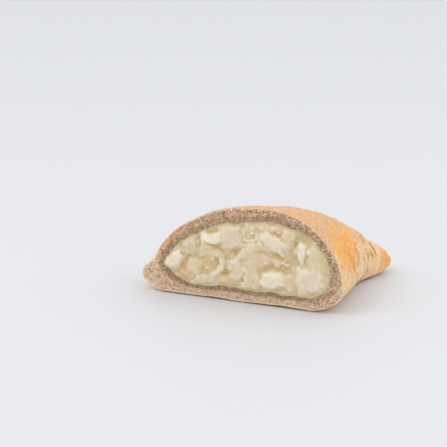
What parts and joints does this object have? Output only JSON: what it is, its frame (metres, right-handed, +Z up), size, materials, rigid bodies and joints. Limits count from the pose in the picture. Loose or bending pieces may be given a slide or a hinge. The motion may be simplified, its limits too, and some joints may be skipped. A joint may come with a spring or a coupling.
{
  "type": "calzone half",
  "caption": "Half of a baked whole-wheat calzone with a crimped seam, cut across so that the pale, chunky filling shows. A serving of food that lies on its flat underside.",
  "frame": {"origin": "middle of the bounding box, on the surface that the calzone rests on", "axes": "+X across the cut face from the crimped seam to the fold, +Y from the cut face to the drawn-out corner, +Z up"},
  "size_m": [0.0972, 0.0692, 0.0445],
  "materials": {
    "baked_dough": "matte baked whole-wheat crust, golden with bran specks; a brown, fine crumb at the cut",
    "creamy_filling": "moist, pale cream-coloured sauce with soft off-white pieces, softly glossy"
  },
  "bodies": {
    "root": {"dough": "baked_dough", "filling": "creamy_filling"}
  },
  "joints": []
}
